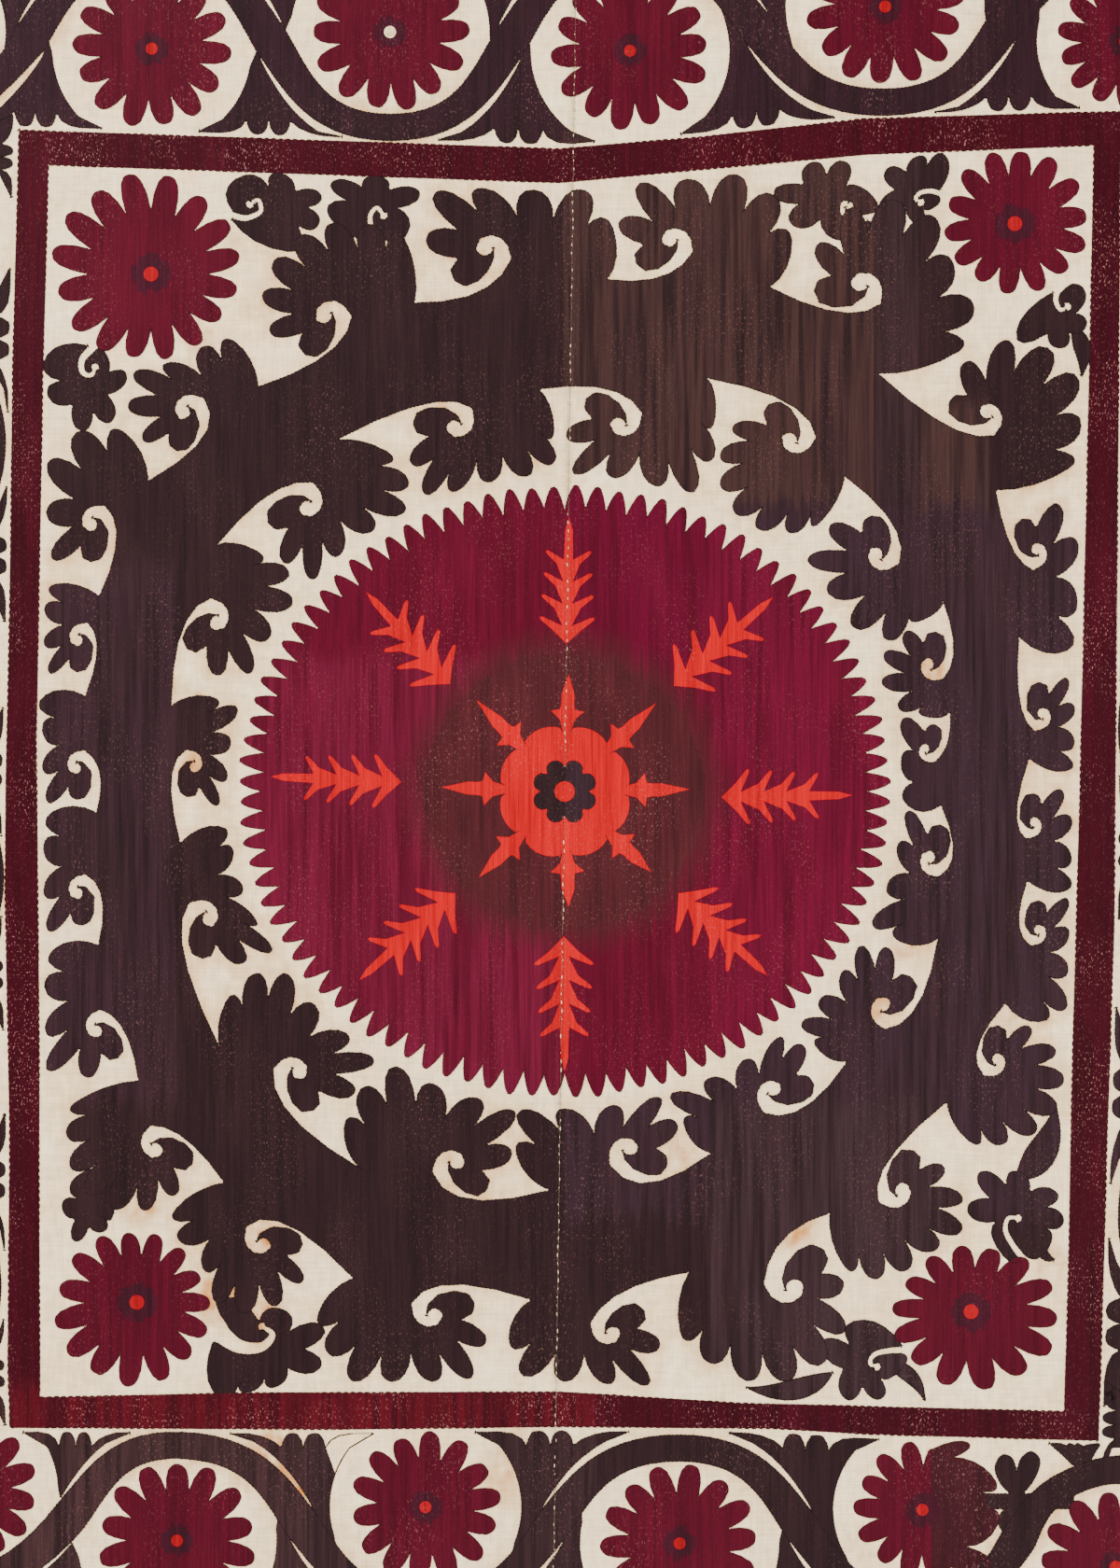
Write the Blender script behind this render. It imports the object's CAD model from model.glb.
"""The suzani hanging, dressed: cotton panels, laid silk with its edge stitches, hem and seam.

The pattern is set out in millimetres, x to the right and y down from the drawing's top left
corner, as in the part's source. place() turns a spot of it to metres in the part's frame.
"""
from math import asin, atan2, ceil, cos, hypot, pi, radians, sin

import bmesh
import bpy
import numpy as np
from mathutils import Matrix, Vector
from mathutils.kdtree import KDTree


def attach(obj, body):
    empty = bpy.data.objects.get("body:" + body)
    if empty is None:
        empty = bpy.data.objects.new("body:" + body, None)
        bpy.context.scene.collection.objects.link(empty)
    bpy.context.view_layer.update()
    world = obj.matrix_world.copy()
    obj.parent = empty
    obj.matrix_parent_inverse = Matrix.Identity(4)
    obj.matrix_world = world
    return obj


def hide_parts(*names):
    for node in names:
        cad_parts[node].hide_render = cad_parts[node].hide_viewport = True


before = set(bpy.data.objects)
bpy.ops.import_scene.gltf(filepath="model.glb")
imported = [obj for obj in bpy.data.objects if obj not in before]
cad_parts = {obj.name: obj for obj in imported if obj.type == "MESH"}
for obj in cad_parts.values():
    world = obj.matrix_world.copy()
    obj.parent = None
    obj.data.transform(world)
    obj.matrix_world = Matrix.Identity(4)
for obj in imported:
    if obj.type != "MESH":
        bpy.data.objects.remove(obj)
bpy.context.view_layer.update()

MM = 1000.0
MIDDLE = (605.0, 848.0)

# heights above the surface the cloth lies on, in millimetres
COTTON_TOP = 1.2
SILK_LOW = 1.25
SILK_TOP = 2.1
HEM_RISE = 0.7
HEM_WIDTH = 12.0
SEAM_GAP = 0.35
SEAM_AT = (605.0, 840.0)
SEAM_LEAN = -0.014
SEAM_DIP = 0.35
DRAPE_STEP = 45.0
HALF_CLOTH = (835.0, 940.0)
PICTURE = (1200.0, 1680.0)

# a panel's grid: its width, height and top, its rows and columns on the hem, and those inside it
PANEL_WIDE = 826.0
PANEL_HIGH = 1872.0
PANEL_TOP = -88.0
HEM_ROWS = [0, 0.8, 2, 4, 7, 10.5, HEM_WIDTH, HEM_WIDTH + 1.5]
INNER_COLUMNS = 92
INNER_ROWS = 204

# the material slots of the part's record
CRIMSON_SLOT = "crimson silk"
DARK_SLOT = "dark aubergine silk"
SCARLET_SLOT = "scarlet silk"

# how far the finer work stands off the motifs' top: a rosette's heart, its dot, the flower's, and how far
# the tufts and palmettes, and the blades, lie below it, so that no two faces share a height
HEART_RISE = 0.12
DOT_RISE = 0.5
FLOWER_RISE = 0.3
TUFT_DROP = 0.1
BLADE_DROP = 0.2

# the cloth's outer edges: along the side, across it
CLOTH_TOP = [(-223, -85), (200, -90), (640, -92), (1100, -88), (1432, -84)]
CLOTH_RIGHT = [(-84, 1432), (420, 1440), (900, 1437), (1380, 1439), (1780, 1431)]
CLOTH_FOOT = [(-222, 1781), (260, 1787), (620, 1788), (1080, 1785), (1431, 1780)]
CLOTH_LEFT = [(-85, -223), (380, -230), (860, -227), (1330, -229), (1781, -222)]

# the crimson frame's outer and inner edges: along the side, across it
FRAME_TOP = [(21, 140), (600, 160), (753, 147), (925, 128), (1200, 120)]
FRAME_RIGHT = [(120, 1200), (400, 1198), (996, 1193), (1210, 1186), (1424, 1180), (1543, 1176)]
FRAME_FOOT = [(11, 1529), (360, 1531), (600, 1528), (830, 1530), (926, 1536), (1176, 1543)]
FRAME_LEFT = [(140, 19), (400, 14), (650, 11), (829, 7), (960, 6), (1210, 11), (1460, 9), (1529, 11)]
FIELD_TOP = [(52, 177), (600, 196), (925, 166), (1172, 156)]
FIELD_RIGHT = [(156, 1172), (400, 1167), (846, 1157), (1174, 1148), (1353, 1145), (1512, 1140)]
FIELD_FOOT = [(43, 1497), (268, 1492), (600, 1491), (791, 1503), (983, 1508), (1140, 1512)]
FIELD_LEFT = [(177, 52), (400, 46), (793, 39), (1103, 42), (1317, 42), (1497, 43)]

# wreath leaves: wedge x, y, eye x, y, curl, lean, belly, reach, bulge, last lobe, its sweep, lobes
OUTER_LEAVES = [
    (444, 325, 519, 264, 0.98, 0, 64, 58, 8, 46, 0.2, 6),
    (650, 300, 717, 255, 0.90, 5, 60, 50, 12, 43, 0.4, 6),
    (824, 308, 921, 302, 1.00, 16, 52, 54, 20, 58, 1.0, 7),
    (940, 400, 1058, 440, 0.85, 10, 60, 50, 24, 74, 0.16, 6),
    (1066, 525, 1112, 588, 0.72, 32, 50, 44, 8, 40, 0.6, 4),
    (1091, 682, 1118, 764, 0.66, 40, 52, 42, 4, 34, 0.5, 4),
    (1102, 812, 1109, 881, 0.62, 40, 52, 40, 6, 36, 0.4, 4),
    (1100, 943, 1114, 996, 0.62, 40, 54, 38, 12, 32, 0.5, 5),
    (1077, 1074, 1070, 1135, 0.72, 30, 58, 44, 16, 34, 0.8, 7),
    (1014, 1180, 968, 1276, 0.90, 20, 54, 46, 14, 51, 0.3, 7),
    (889, 1299, 852, 1381, 1.05, 10, 66, 46, 10, 56, 0.35, 7),
    (739, 1362, 657, 1430, 0.85, 8, 64, 46, 14, 32, 0.8, 6),
    (570, 1392, 466, 1411, 0.90, 24, 60, 56, 18, 38, 0.8, 7),
    (379, 1369, 282, 1335, 0.85, 22, 64, 54, 8, 50, 0.44, 7),
    (241, 1267, 166, 1233, 0.85, 12, 50, 48, 14, 66, 0.1, 7),
    (149, 1158, 102, 1105, 0.75, 20, 54, 44, 14, 40, 0.1, 5),
    (106, 1013, 82, 957, 0.70, 40, 56, 44, 10, 40, 0.1, 4),
    (104, 871, 80, 823, 0.68, 40, 56, 40, 10, 38, 0.1, 4),
    (92, 746, 82, 686, 0.68, 40, 50, 42, 8, 41, 0.23, 4),
    (107, 639, 96, 562, 0.80, 32, 56, 48, 12, 36, 1.1, 5),
    (159, 516, 195, 441, 0.85, 22, 68, 50, 0, 48, 0.24, 6),
    (277, 415, 346, 337, 0.95, 5, 56, 58, 0, 66, 0.05, 7),
]
INNER_LEAVES = [
    (359, 472, 487, 460, 0.90, 16, 56, 52, 34, 34, 0.4, 7),
    (577, 417, 662, 457, 0.90, 5, 60, 50, 28, 30, 0.5, 7),
    (757, 405, 845, 473, 0.90, 5, 60, 56, 26, 46, 0.3, 7),
    (905, 510, 937, 595, 0.85, 8, 60, 52, 24, 18, 0.4, 6),
    (1010, 643, 993, 712, 0.72, 12, 58, 40, 6, 18, 0.2, 5),
    (1018, 762, 990, 802, 0.56, 14, 56, 34, 4, 26, 0.2, 3),
    (1008, 862, 994, 918, 0.74, 26, 58, 46, 26, 28, 0.5, 5),
    (1005, 1005, 945, 1075, 0.85, 20, 60, 56, 20, 24, 0.5, 6),
    (908, 1137, 828, 1165, 0.88, 10, 62, 48, 34, 24, 0.7, 6),
    (763, 1235, 675, 1228, 0.90, 5, 74, 46, 34, 27, 1.3, 6),
    (590, 1275, 490, 1243, 0.90, 5, 70, 50, 34, 24, 1.4, 7),
    (388, 1253, 322, 1147, 0.90, 5, 66, 56, 34, 26, 1.4, 7),
    (237, 1126, 226, 984, 0.88, 8, 62, 52, 34, 36, 0.4, 6),
    (193, 904, 210, 822, 0.66, 30, 60, 42, 16, 32, 0.5, 5),
    (183, 757, 234, 668, 0.86, 8, 60, 50, 26, 30, 0.5, 6),
    (232, 584, 330, 546, 0.90, 14, 58, 56, 34, 30, 1.3, 7),
]
# a leaf's curl and its first lobe, along the wreath and away from its ring, from the eye
CURL = [(29, -16), (26, -1), (19, 8), (8, 12), (-4, 9), (-10, -2), (-6, -9), (2, -11), (8, -7), (10, -1)]
FIRST_LOBE = [(9, -14), (2, -27), (-10, -38), (-24, -42), (-35, -35), (-38, -24), (-29, -11)]
HOLLOW_ALONG = 5.0
LEAN_RAMP = 0.45
# the fan's rim starts at this angle from the way the wreath runs, less for a leaning curl
FAN_START = 196.0
FAN_LEAN = 0.8
FAN_BACK = 150.0
# a fan's notches: the deepest, shares of the tips' spacing and of the way to the eye, and their aim
LEAF_NOTCH = 32.0
NOTCH_SPREAD = 0.76
NOTCH_REACH = 0.48
NOTCH_AIM = 0.75
LAST_NOTCH = 0.7
RING_OUT = (500.0, 560.0)
RING_IN = (400.0, 400.0)
RIM_STEPS = 60
SMOOTHINGS = 5
# how round a petal's crown is, and the width up to which both its sides are alike
CROWN = 0.72
WIDE_PETAL = 40.0
# room kept by the wreath's tips: to the rosettes, the frame's left, right, top and foot, and the teeth
CLEAR_ROSETTE = 6.0
CLEAR_FRAME = (7.0, 8.0, 9.0, 12.0)
CLEAR_TEETH = (14.0, 13.0)

# medallion
TOOTH_TIP = (348.0, 327.0)
TOOTH_DEPTH = 25.0
TEETH = 92
# the side of a tooth: share of its pitch, share of its height
TOOTH_SIDE = [(0.1, 0.3), (0.2, 0.58), (0.31, 0.82), (0.4, 0.95)]
GROUND_RADIUS = 150.0
LOBE_RADIUS = 72.0
LOBE_NOTCH = 63.0
SPEAR_ROOT = 4.0
# spears on the dark ground: angle in degrees, reach
SPEARS = [(-1, 134), (43, 126), (88, 124), (135, 130), (182, 132), (226, 136), (272, 126), (316, 136)]
# half of a spear: distance from the middle, half width; its tip comes last
SPEAR_SIDE = [(70, 6), (77, 8), (86, 18), (88, 8), (94, 7), (104, 7)]
# a sprig's barbs: the first, their step and their taper as shares, how far they rise below and above,
# and half the width of the stem between them
BARB_FIRST = 0.21
BARB_STEP = 0.175
BARB_TAPER = 0.06
BARB_LOW = 14.0
BARB_RISE = 9.0
STEM_HALF = 5.0
# sprigs: name, tip x, y, base x, y, half width
SPRIGS = [
    ("sprig_top", 610, 555, 607, 690, 30), ("sprig_upper_right", 828, 640, 722, 735, 34),
    ("sprig_right", 913, 852, 773, 854, 30), ("sprig_lower_right", 822, 1045, 727, 957, 33),
    ("sprig_foot", 605, 1148, 604, 1003, 32), ("sprig_lower_left", 385, 1050, 488, 957, 33),
    ("sprig_left", 290, 832, 430, 838, 29), ("sprig_upper_left", 393, 635, 482, 733, 33),
]

# a rosette's notches, as a share of its radius
PETAL_NOTCH = 0.63
# corner rosettes: name, x, y, reach into the corner, reach to the wreath, height over width, petals
CORNER_ROSETTES = [
    ("corner_rosette_top_left", 162, 294, 109, 90, 1.0, 16),
    ("corner_rosette_top_right", 1087, 240, 80, 74, 1.0, 14),
    ("corner_rosette_foot_left", 147, 1395, 91, 74, 1.0, 15),
    ("corner_rosette_foot_right", 1040, 1405, 98, 80, 0.86, 14),
]
# border rosettes, clockwise: x, y, vine passes outside, radius, petals, vine's distance
BORDER_ROSETTES = [
    (-100, 35, False, 84, 14, 102), (163, 53, True, 84, 14, 102), (418, 35, False, 84, 14, 102),
    (675, 55, True, 84, 14, 102), (948, 8, False, 84, 14, 102), (1205, 45, True, 72, 14, 100),
    (1318, 270, False, 84, 14, 102), (1287, 530, True, 84, 14, 102), (1314, 780, False, 84, 14, 102),
    (1287, 1035, True, 84, 14, 102), (1312, 1308, False, 80, 14, 100), (1302, 1494, True, 61, 13, 80),
    (1195, 1678, False, 82, 14, 102), (988, 1617, True, 73, 14, 100), (728, 1653, False, 84, 14, 102),
    (456, 1614, True, 80, 14, 102), (190, 1650, False, 84, 14, 102), (-38, 1597, True, 78, 14, 110),
    (-115, 1370, False, 84, 14, 102), (-88, 1150, True, 84, 14, 102), (-112, 940, False, 84, 14, 102),
    (-88, 710, True, 84, 14, 102), (-110, 475, False, 84, 14, 102), (-88, 248, True, 84, 14, 102),
]
# the vine's half width at a rosette and where it crosses over, its gap to the petals, its slant there,
# and how full its bends are
VINE_HALF = 14.0
VINE_CROSSING = 19.0
VINE_CLEAR = 3.0
VINE_SWING = radians(62)
VINE_FULL = 0.6
VINE_STEPS = 14

# leaf tufts: their distance from the near rosette's petals, and from the odd rosette's
TUFT_RING = 23.0
ODD_RING = 60.0
# the odd rosette's tuft is spread sideways by a share, about an x, and slid on towards the vine
ODD_WIDE = 2.2
ODD_MIDDLE = 1112.0
ODD_SLIDE = 36.0
# the inner tuft whose near claw was drawn but never worked, and the claw's first and last spots
DRAWN_CLAW = (15, 9, 19)
# the widest gap to the vine; the height at which a claw turns along its line, and how far it runs on;
# the height of its tip; the width from which a tuft is full; and the outer tufts' room to the cloth's edge
TUFT_GAP = 12.0
TUFT_ENDS = (16.0, 26.0)
CLAW_TIP = 5.0
FULL_TUFT = 110.0
EDGE_MARGIN = 20.0
# a tuft's foot, from its near claw to its far one: share of the way, height above the line it ends on
TUFT_FOOT = [
    (0.08, 5), (0.16, 5), (0.24, 7), (0.30, 12), (0.335, 20), (0.35, 12), (0.375, 6), (0.41, 4.5), (0.45, 6),
    (0.475, 12), (0.49, 21), (0.505, 12), (0.53, 6), (0.565, 4.5), (0.60, 6), (0.625, 12), (0.64, 20),
    (0.70, 13), (0.78, 8), (0.86, 5.5), (0.94, 5),
]

# free palmettes: half width of the slit's mouth, the slit from its mouth to its bulb, the lobes' tips
PALMETTES = [
    (4, [(249, 231), (264, 234), (279, 227), (277, 215), (268, 219)],
     [(252, 193), (300, 186), (343, 208), (341, 241), (310, 270)]),
    (4, [(405, 257), (398, 244), (397, 231), (404, 223), (411, 231)],
     [(436, 251), (449, 206), (404, 189), (357, 195), (354, 234)]),
    (5, [(98, 374), (88, 386), (89, 399), (98, 402), (102, 394)],
     [(51, 381), (52, 425), (86, 461), (121, 450), (136, 404), (114, 380)]),
    (4, [(932, 233), (914, 234), (903, 228), (904, 218), (910, 221)],
     [(935, 211), (906, 174), (868, 175), (829, 206), (850, 242), (903, 258)]),
    (3.5, [(1006, 207), (996, 205), (986, 207), (981, 213), (986, 217)],
     [(1014, 169), (983, 168), (949, 183), (943, 226), (984, 241), (1001, 222)]),
    (4, [(1132, 314), (1131, 323), (1136, 332), (1143, 329)],
     [(1089, 355), (1136, 373), (1163, 350), (1160, 309)]),
    (4, [(1096, 1348), (1085, 1334), (1077, 1318), (1080, 1305), (1090, 1305)],
     [(1122, 1338), (1139, 1308), (1130, 1276), (1091, 1255), (1050, 1256), (1037, 1298), (1068, 1336)]),
    (4, [(967, 1446), (951, 1447), (937, 1451), (932, 1460), (939, 1464)],
     [(926, 1414), (879, 1440), (904, 1497), (944, 1498), (964, 1468)]),
    (4, [(115, 1258), (118, 1272), (117, 1284), (111, 1291), (105, 1286)],
     [(123, 1292), (113, 1318), (80, 1329), (67, 1292), (84, 1259)]),
    (12, [(236, 1428), (256, 1442), (280, 1443), (292, 1430), (281, 1421)],
     [(228, 1489), (266, 1491), (297, 1485), (342, 1466), (346, 1421), (301, 1402), (241, 1389)]),
]
# half the slit's width at its bulb, the bulb's radius, and the depth of the notches between the lobes
SLIT_HALF = 2.6
BULB = 4.6
LOBE_SPREAD = 0.4
LOBE_REACH = 0.38
# single leaf blades beside them: root x, y, bend x, y, tip x, y, half width
BLADES = [
    (1088, 1262, 1126, 1240, 1131, 1184, 16), (892, 1470, 852, 1500, 799, 1486, 11),
    (948, 1462, 980, 1466, 991, 1501, 8), (1148, 350, 1166, 372, 1158, 404, 9),
    (1112, 1330, 1118, 1350, 1130, 1349, 5),
]

# the rosette with a pale dot
PALE_DOT = 3
# the rosette whose right side is worked dark, where its two silks meet, from which height to which, and
# the dark side's petals: notch x, y, tip x, y
ODD_ROSETTE = 14
SILKS_MEET = 998.0
SILKS_SPAN = (1552.0, 1690.0)
DARK_PETALS = [
    (1000, 1552, 1036, 1545), (1021, 1561, 1061, 1579), (1053, 1598, 1056, 1608), (1053, 1616, 1068, 1634),
    (1034, 1656, 1060, 1679), (1018, 1678, 1004, 1692),
]
# the trefoil's stem, its two upper lobes and its lower one, each a line of spots
TREFOIL_STEM = (1040, 1600, 1150, 1616)
TREFOIL = [
    [(1082, 1600), (1071, 1588), (1066, 1572), (1073, 1559), (1084, 1562), (1089, 1576)],
    [(1089, 1576), (1094, 1562), (1105, 1555), (1114, 1565), (1108, 1584), (1096, 1600)],
    [(1094, 1616), (1098, 1628), (1092, 1640), (1082, 1643), (1073, 1639), (1069, 1628), (1075, 1616)],
]

# dye lots, as upright patches of the laid silk: left, top, right, foot, sRGB colour
DARK_LOTS = [
    (602, 145, 937, 540, "#2f1d1b"), (937, 145, 985, 540, "#261719"), (985, 430, 1060, 620, "#2f1d1b"),
    (605, 540, 1200, 1300, "#26161c"), (760, 1180, 1010, 1500, "#291a1d"), (-240, -100, 1440, 140, "#210f15"),
    (-240, 1500, 330, 1790, "#2f1c1d"), (330, 1500, 640, 1790, "#271719"), (40, 600, 190, 1180, "#26151a"),
]
MEDALLION_LOTS = [
    (250, 700, 605, 1180, "#4d0a1f"), (605, 500, 760, 840, "#47021a"), (760, 500, 970, 1180, "#4b041c"),
]
FRAME_LOTS = [(0, 1480, 640, 1545, "#40050f"), (700, 100, 1210, 170, "#2f020c")]

# how far the dark silk's dye bleeds, and brown stains on the cotton: x, y, radius, strength
BLEED = 16.0
STAINS = [
    (993, 712, 26, 0.9), (945, 1075, 34, 0.9), (975, 1010, 30, 0.7), (730, 1243, 46, 0.7),
    (282, 1420, 34, 0.9), (210, 820, 22, 0.8), (560, 480, 30, 0.5), (300, 1556, 50, 0.9),
    (545, 1580, 44, 0.7), (212, 360, 20, 0.8), (262, 255, 26, 0.5), (236, 1395, 34, 1.0),
    (1125, 1350, 30, 0.6), (275, 330, 22, 0.5), (560, 1530, 40, 0.4), (330, 1600, 30, 0.9),
    (285, 1330, 26, 0.6), (855, 1310, 30, 0.8), (150, 1300, 24, 0.5), (840, 1320, 24, 0.6),
]


def across(side, along):
    """How far across an edge lies at a distance along it."""
    before = side[0]
    for after in side[1:]:
        if along <= after[0]:
            share = max(0.0, (along - before[0]) / (after[0] - before[0]))
            return before[1] + share * (after[1] - before[1])
        before = after
    return before[1]


def apart(a, b):
    """How far one spot lies from another."""
    return hypot(b[0] - a[0], b[1] - a[1])


def polar(middle, size, angle):
    """The spot at a distance and an angle from a middle."""
    return middle[0] + size * cos(angle), middle[1] + size * sin(angle)


def seam_x(y):
    """Where the seam lies at height y of the pattern."""
    return SEAM_AT[0] + SEAM_LEAN * (y - SEAM_AT[1])


def place(x, y):
    """From the pattern's millimetres to metres in the part's frame."""
    return (x - MIDDLE[0]) / MM, (MIDDLE[1] - y) / MM


def lift(x, y):
    """The cloth's slight cockling, in millimetres, at a spot of the pattern; more near its edges."""
    u, v = (x - MIDDLE[0]) / HALF_CLOTH[0], (y - MIDDLE[1]) / HALF_CLOTH[1]
    edge = max(abs(u), abs(v)) ** 4
    slow = 1 + sin(x / 118 + 0.7 * sin(y / 240)) * sin(y / 143 + 1.3)
    quick = 1 + sin(x / 47 + y / 61) * sin(y / 39 - x / 83)
    return 0.35 * slow + (0.15 + 0.9 * edge) * quick


def ring(top, right, foot, left):
    """Four edges as one closed outline, clockwise from the top left."""
    outline = list(top)
    outline += [(x, y) for y, x in right[1:-1]]
    outline += list(reversed(foot))
    outline += [(x, y) for y, x in reversed(left[1:-1])]
    return outline


def finer(outline, step):
    """The same closed outline with points at about even steps."""
    points = []
    for a, b in zip(outline, outline[1:] + outline[:1]):
        count = max(1, round(apart(a, b) / step))
        points += [(a[0] + (b[0] - a[0]) * i / count, a[1] + (b[1] - a[1]) * i / count) for i in range(count)]
    return points


def bezier(start, first, second, end, steps):
    """Points along a cubic curve, without its end."""
    points = []
    for i in range(steps):
        u = i / steps
        a, b, c, d = (1 - u) ** 3, 3 * u * (1 - u) ** 2, 3 * u * u * (1 - u), u ** 3
        points.append((a * start[0] + b * first[0] + c * second[0] + d * end[0],
                       a * start[1] + b * first[1] + c * second[1] + d * end[1]))
    return points


def curved(spots, steps=5):
    """A smooth line through some spots."""
    around = [spots[0]] + list(spots) + [spots[-1]]
    line = []
    for before, a, b, after in zip(around, around[1:], around[2:], around[3:]):
        first = (a[0] + (b[0] - before[0]) / 6, a[1] + (b[1] - before[1]) / 6)
        second = (b[0] - (after[0] - a[0]) / 6, b[1] - (after[1] - a[1]) / 6)
        line += bezier(a, first, second, b, steps)
    return line + [spots[-1]]


def petal(notch, tip, following, steps=4, full=0.62):
    """A round petal from its notch over the tip towards the following notch."""
    half = ((following[0] - notch[0]) / 2, (following[1] - notch[1]) / 2)
    near = min(1.0, WIDE_PETAL / 2 / hypot(*half))
    mid = (notch[0] + half[0], notch[1] + half[1])
    rise = (full * (tip[0] - notch[0] - half[0] * near), full * (tip[1] - notch[1] - half[1] * near))
    first = (notch[0] + rise[0] - half[0] * near / 10, notch[1] + rise[1] - half[1] * near / 10)
    crown = (tip[0] - half[0] * near * CROWN, tip[1] - half[1] * near * CROWN)
    fall = (tip[0] + half[0] * CROWN, tip[1] + half[1] * CROWN)
    last = (following[0] + (tip[0] - mid[0]) * full + half[0] / 10,
            following[1] + (tip[1] - mid[1]) * full + half[1] / 10)
    return bezier(notch, first, crown, tip, steps) + bezier(tip, fall, last, following, steps)


def outward(x, y, half_sizes, power, side):
    """The direction out of a ring of rounded corners; side -1 turns it inwards."""
    u, v = (x - MIDDLE[0]) / half_sizes[0], (y - MIDDLE[1]) / half_sizes[1]
    normal = (abs(u) ** power * (1 if u >= 0 else -1), abs(v) ** power * (1 if v >= 0 else -1))
    size = hypot(*normal)
    return side * normal[0] / size, side * normal[1] / size


def corner_reach(x, y, far, near, angle):
    """How far a corner rosette reaches: most into its corner, least towards the wreath."""
    away = atan2(y - MIDDLE[1], x - MIDDLE[0])
    return (far + near) / 2 + (far - near) / 2 * cos(angle - away)


def kept_clear(point, side):
    """Keep the outer tips inside the frame and off its rosettes, the inner ones off the teeth."""
    x, y = point
    if side > 0:
        for _, middle_x, middle_y, far, near, squat, _ in CORNER_ROSETTES:
            dx, dy = x - middle_x, (y - middle_y) / squat
            room = corner_reach(middle_x, middle_y, far, near, atan2(dy, dx)) + CLEAR_ROSETTE
            if hypot(dx, dy) < room:
                x = middle_x + dx * room / hypot(dx, dy)
                y = middle_y + dy * room / hypot(dx, dy) * squat
        left, right, top, foot = CLEAR_FRAME
        x = min(max(x, across(FIELD_LEFT, y) + left), across(FIELD_RIGHT, y) - right)
        y = min(max(y, across(FIELD_TOP, x) + top), across(FIELD_FOOT, x) - foot)
        return x, y
    u = (x - MIDDLE[0]) / (TOOTH_TIP[0] + CLEAR_TEETH[0])
    v = (y - MIDDLE[1]) / (TOOTH_TIP[1] + CLEAR_TEETH[1])
    size = min(hypot(u, v), 1.0)
    return MIDDLE[0] + (x - MIDDLE[0]) / size, MIDDLE[1] + (y - MIDDLE[1]) / size


def spaced(line, count):
    """Points at the middles of even lengths along a line."""
    run = [0.0]
    for a, b in zip(line, line[1:]):
        run.append(run[-1] + apart(a, b))
    points = []
    for j in range(count):
        want = run[-1] * (j + 0.5) / (count - 0.3)
        i = max(k for k in range(len(line) - 1) if run[k] <= want)
        share = (want - run[i]) / (run[i + 1] - run[i])
        points.append((line[i][0] + (line[i + 1][0] - line[i][0]) * share,
                       line[i][1] + (line[i + 1][1] - line[i][1]) * share))
    return points


def leaf(row, following, side):
    """One curled leaf of the wreath, from its wedge round the curl and over its lobes."""
    wedge_x, wedge_y, eye_x, eye_y, curl, lean, belly, reach, bulge, last, sweep, lobes = row
    half_sizes, power = (RING_OUT, 2.0) if side > 0 else (RING_IN, 1.3)
    nx, ny = outward((wedge_x + eye_x) / 2, (wedge_y + eye_y) / 2, half_sizes, power, side)
    tx, ty = (-ny, nx) if side > 0 else (ny, -nx)

    def from_eye(along, away):
        return eye_x + curl * (along * tx + away * nx), eye_y + curl * (along * ty + away * ny)

    shoulder = from_eye(*CURL[0])
    hollow = from_eye(HOLLOW_ALONG, -belly)
    points = [(wedge_x, wedge_y)]
    for u in (0.2, 0.4, 0.6, 0.8):
        a, b, c = (1 - u) ** 2, 2 * u * (1 - u), u * u
        points.append((a * wedge_x + b * hollow[0] + c * shoulder[0],
                       a * wedge_y + b * hollow[1] + c * shoulder[1]))
    points += [from_eye(*spot) for spot in CURL]
    for j, (along, away) in enumerate(FIRST_LOBE):
        turn = -radians(lean) * min(1.0, LEAN_RAMP * j)
        points.append(from_eye(along * cos(turn) - away * sin(turn), along * sin(turn) + away * cos(turn)))
    # the fan's rim, from the first lobe to the following wedge
    n2x, n2y = outward(following[0], following[1], half_sizes, power, side)
    t2x, t2y = (-n2y, n2x) if side > 0 else (n2y, -n2x)
    end = (following[0] + last * (n2x + sweep * t2x) - eye_x,
           following[1] + last * (n2y + sweep * t2y) - eye_y)
    start_angle = radians(FAN_START - FAN_LEAN * lean)
    end_angle = atan2(end[0] * nx + end[1] * ny, end[0] * tx + end[1] * ty)
    if end_angle > radians(FAN_BACK):
        end_angle -= 2 * pi
    rim = []
    for i in range(RIM_STEPS + 1):
        u = i / RIM_STEPS
        angle = start_angle + (end_angle - start_angle) * u
        size = reach + (hypot(*end) - reach) * u ** 1.6 + bulge * sin(pi * u ** 1.4)
        along, away = size * cos(angle), size * sin(angle)
        rim.append(kept_clear((eye_x + along * tx + away * nx, eye_y + along * ty + away * ny), side))
    for _ in range(SMOOTHINGS):
        inner = [((a[0] + 2 * b[0] + c[0]) / 4, (a[1] + 2 * b[1] + c[1]) / 4)
                 for a, b, c in zip(rim, rim[1:], rim[2:])]
        rim = [rim[0]] + inner + [rim[-1]]
    tips = spaced(rim, lobes)
    notches = [points.pop()]
    for j, (a, b) in enumerate(zip(tips, tips[1:])):
        mid = ((a[0] + b[0]) / 2, (a[1] + b[1]) / 2)
        share = NOTCH_AIM * (j + 1) / lobes
        aim = (eye_x + share * (following[0] - eye_x) - mid[0],
               eye_y + share * (following[1] - eye_y) - mid[1])
        depth = min(NOTCH_SPREAD * apart(a, b), LEAF_NOTCH, NOTCH_REACH * hypot(*aim))
        depth *= LAST_NOTCH if j == lobes - 2 else 1.0
        deep = depth / hypot(*aim)
        notches.append((mid[0] + aim[0] * deep, mid[1] + aim[1] * deep))
    notches.append((following[0], following[1]))
    for notch, tip, after in zip(notches, tips, notches[1:]):
        points += petal(notch, tip, after)
    return points


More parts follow.
